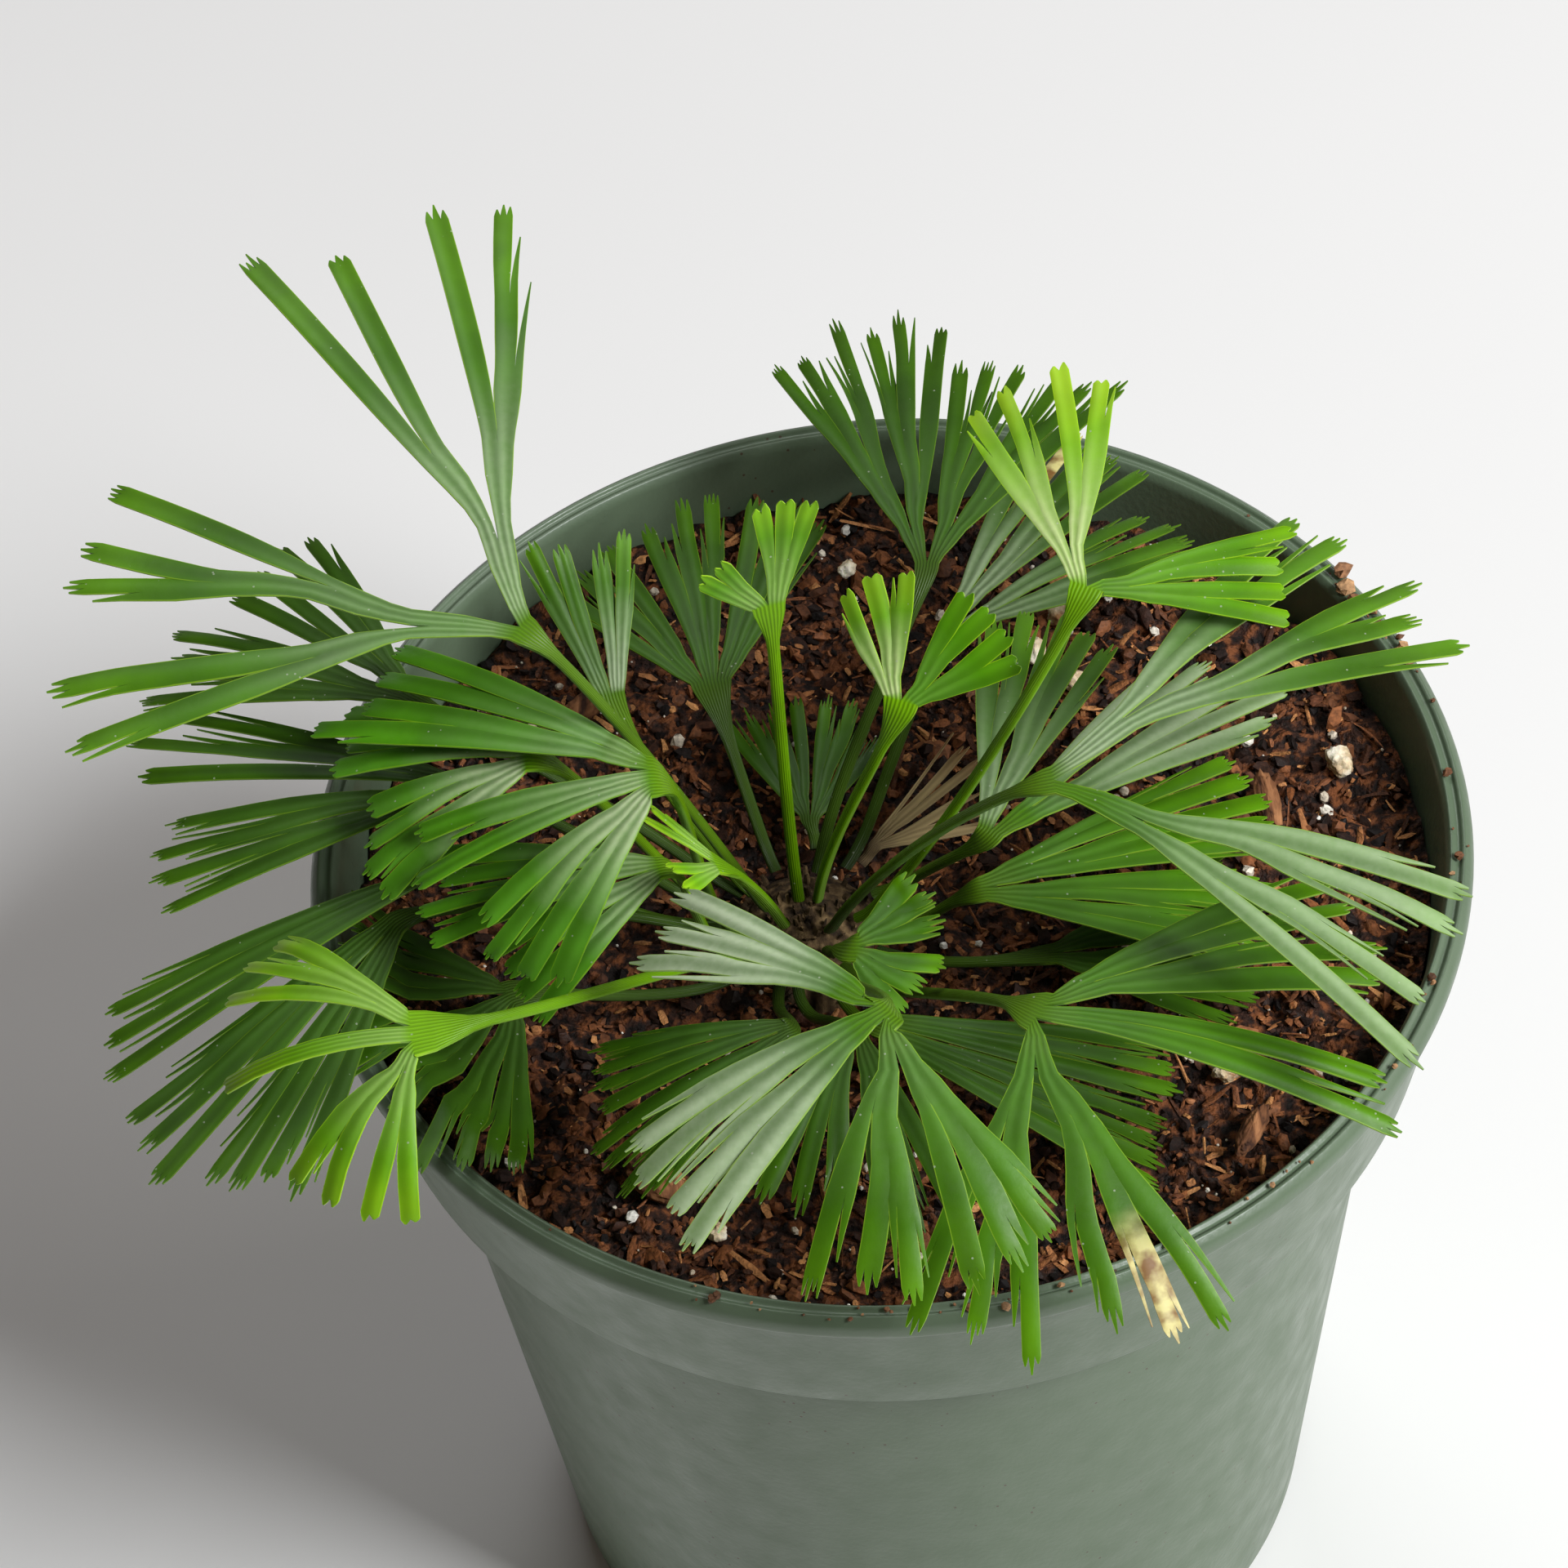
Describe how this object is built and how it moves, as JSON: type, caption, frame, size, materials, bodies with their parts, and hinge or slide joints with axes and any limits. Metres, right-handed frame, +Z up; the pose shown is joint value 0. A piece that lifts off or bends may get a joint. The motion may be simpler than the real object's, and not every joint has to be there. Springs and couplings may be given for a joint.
{
  "type": "potted fern",
  "caption": "Small fern whose wiry stipes rise from a rhizome and fork into fans of narrow straps, in potting mix in a tapered round pot with a deep rim band.",
  "frame": {"origin": "middle of the pot's flat base, on the surface it stands on", "axes": "+Z up out of the pot along its axis; -Y towards the fern's open side, the side it is seen from; +X to the right from there"},
  "size_m": [0.1274, 0.1247, 0.1493],
  "materials": {
    "pot": "satin",
    "potting_mix": "matte",
    "rhizome": "matte",
    "bark": "matte",
    "perlite": "matte",
    "dark": "satin",
    "mature": "satin",
    "glossy": "gloss",
    "young": "satin",
    "dried": "matte"
  },
  "bodies": {
    "root": {"bark_chip_01": "bark", "bark_chip_02": "bark", "bark_chip_03": "bark", "bark_chip_04": "bark", "frond_back_centre": "dark", "frond_back_left": "dark", "frond_back_right": "dark", "frond_bud": "young", "frond_centre_small": "dark", "frond_dried": "dried", "frond_far_left": "dark", "frond_front_centre": "mature", "frond_front_right": "mature", "frond_lime_back": "young", "frond_lime_left": "young", "frond_long_right": "mature", "frond_low_front": "dark", "frond_low_front_left": "dark", "frond_low_front_right": "mature", "frond_low_left": "dark", "frond_low_right": "mature", "frond_mid_left": "glossy", "frond_mid_left_lower": "glossy", "frond_mid_left_upper": "glossy", "frond_outer_left": "dark", "frond_right": "mature", "frond_rim_front_left": "dark", "frond_rim_left": "dark", "frond_serrated": "mature", "frond_small_lime": "young", "frond_small_upright": "mature", "frond_tall_left": "mature", "frond_under_right": "dark", "frond_young": "young", "perlite_01": "perlite", "perlite_02": "perlite", "perlite_03": "perlite", "perlite_04": "perlite", "perlite_05": "perlite", "perlite_06": "perlite", "perlite_07": "perlite", "pot": "pot", "potting_mix": "potting_mix", "rhizome": "rhizome"}
  },
  "joints": []
}
